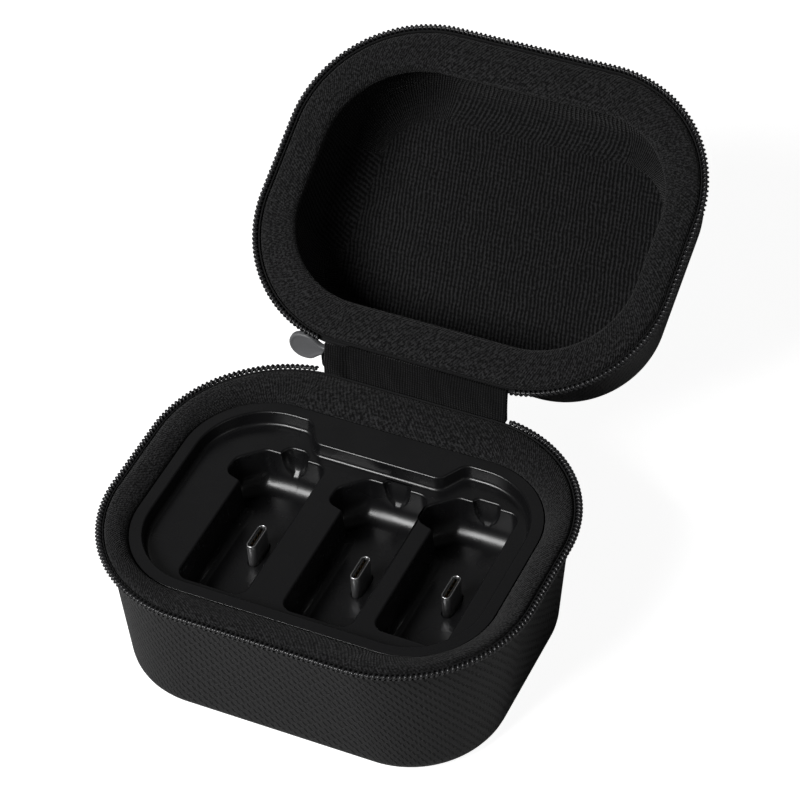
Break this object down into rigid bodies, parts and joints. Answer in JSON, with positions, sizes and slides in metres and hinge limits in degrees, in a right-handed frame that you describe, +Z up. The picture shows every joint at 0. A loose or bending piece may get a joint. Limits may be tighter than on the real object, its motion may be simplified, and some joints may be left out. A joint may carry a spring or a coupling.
{
  "type": "zippered charging case",
  "caption": "Zippered hard-shell carrying case, lid open, with a moulded charging tray whose deep bays each hold an upright dock plug.",
  "frame": {"origin": "centre of the flat underside of the base", "axes": "+Z up, +X to the right along the long side, +Y from the front towards the hinge"},
  "size_m": [0.1184, 0.1865, 0.0951],
  "materials": {
    "cell_pouch": "aluminium laminate pouch",
    "circuit_board": "green solder mask on glass laminate",
    "gold_contact": "gold plated contact",
    "insert_plastic": "black glass-filled plastic",
    "knit_lining": "brushed black knit with fine diagonal ribs",
    "leathercloth": "embossed black polyurethane leathercloth, low sheen",
    "light_pipe": "milky clear plastic",
    "pad_foam": "soft foam",
    "plug_steel": "nickel plated drawn steel",
    "pull_plastic": "grey moulded plastic",
    "screw_steel": "black oxide steel",
    "shell_foam": "moulded closed-cell foam, matt",
    "slider_metal": "black painted zinc",
    "tray_plastic": "satin black moulded plastic",
    "zip_coil": "polyester coil, glossy black",
    "zip_tape": "woven polyester tape, matt black"
  },
  "bodies": {
    "base": {"base_foam_shell": "shell_foam", "base_lining": "knit_lining", "base_rim_band": "knit_lining", "base_skin": "leathercloth", "base_zip_coil": "zip_coil", "base_zip_tape": "zip_tape", "battery_cell": "cell_pouch", "battery_pad": "pad_foam", "board_headers": "insert_plastic", "boost_converter": "insert_plastic", "cell_tabs": "plug_steel", "charge_controller": "insert_plastic", "charging_tray": "tray_plastic", "hinge_strip_inner": "knit_lining", "hinge_strip_outer": "zip_tape", "inlet_bezel": "tray_plastic", "inlet_shell": "plug_steel", "inlet_tongue": "insert_plastic", "main_board": "circuit_board", "plug_board_one": "circuit_board", "plug_board_three": "circuit_board", "plug_board_two": "circuit_board", "plug_contacts": "gold_contact", "plug_insert_one": "insert_plastic", "plug_insert_three": "insert_plastic", "plug_insert_two": "insert_plastic", "plug_shell_one": "plug_steel", "plug_shell_three": "plug_steel", "plug_shell_two": "plug_steel", "power_inductor": "insert_plastic", "status_led": "light_pipe", "status_light_pipe": "light_pipe", "storage_capacitor": "insert_plastic", "tray_bottom_pan": "tray_plastic", "tray_screws": "screw_steel", "zip_slider": "slider_metal"},
    "lid": {"lid_foam_shell": "shell_foam", "lid_lining": "knit_lining", "lid_rim_band": "knit_lining", "lid_skin": "leathercloth", "lid_zip_coil": "zip_coil", "lid_zip_tape": "zip_tape"},
    "pull_tab": {"zip_pull_tab": "pull_plastic"}
  },
  "joints": [
    {"name": "lid_hinge", "type": "hinge", "parent": "base", "child": "lid", "pos_m": [0, 0.05, 0.047], "axis": [-1, 0, 0], "range_deg": [-152.5, 8], "deforming": ["hinge_strip_outer", "hinge_strip_inner"]},
    {"name": "pull_tab_swing", "type": "hinge", "parent": "base", "child": "pull_tab", "pos_m": [-0.0239, 0.05305, 0.044], "axis": [0, 0, 1], "range_deg": [-6, 3]}
  ]
}
